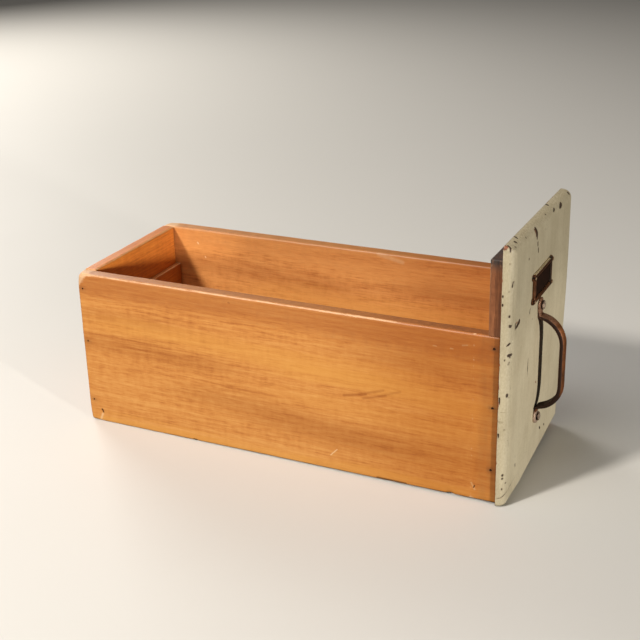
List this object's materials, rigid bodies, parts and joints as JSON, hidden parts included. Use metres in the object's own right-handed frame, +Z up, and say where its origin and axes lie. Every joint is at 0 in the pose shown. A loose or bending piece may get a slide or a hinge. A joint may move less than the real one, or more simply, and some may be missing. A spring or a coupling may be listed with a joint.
{
  "type": "card catalog drawer",
  "caption": "Open wooden card catalog drawer: nailed box with a tall worn cream-painted front, a copper-brown strap pull and a small framed label holder.",
  "frame": {"origin": "middle of the bounding box seen from above, at the level of the bottom edge of the front board", "axes": "+X to the right as seen from the front, +Y from the front towards the back along the length, +Z up"},
  "size_m": [0.166, 0.4332, 0.2255],
  "materials": {
    "side_wood": "honey-orange varnish, satin",
    "inner_wood": "honey-orange varnish, satin",
    "panel_wood": "thin plain panel, dull varnish",
    "front_paint": "aged cream gloss paint, chipped at the edges",
    "pull_metal": "dark copper-brown patina, satin",
    "label_metal": "dark copper-brown patina, satin",
    "screw_metal": "plating worn off, dull",
    "card": "dark brown card, matte",
    "nail_metal": "dark rust"
  },
  "bodies": {
    "root": {"left_side": "side_wood", "right_side": "side_wood", "back_board": "inner_wood", "back_liner": "inner_wood", "bottom_panel": "panel_wood", "front_board": "front_paint", "strap_pull": "pull_metal", "label_frame": "label_metal", "label_card": "card", "pull_screw_1": "screw_metal", "pull_screw_2": "screw_metal", "label_pin_1": "label_metal", "label_pin_2": "label_metal", "label_pin_3": "label_metal", "label_pin_4": "label_metal", "nail_front_left_1": "nail_metal", "nail_front_left_2": "nail_metal", "nail_front_left_3": "nail_metal", "nail_front_right_1": "nail_metal", "nail_front_right_2": "nail_metal", "nail_front_right_3": "nail_metal", "nail_back_left_1": "nail_metal", "nail_back_left_2": "nail_metal", "nail_back_left_3": "nail_metal", "nail_back_right_1": "nail_metal", "nail_back_right_2": "nail_metal", "nail_back_right_3": "nail_metal"}
  },
  "joints": []
}
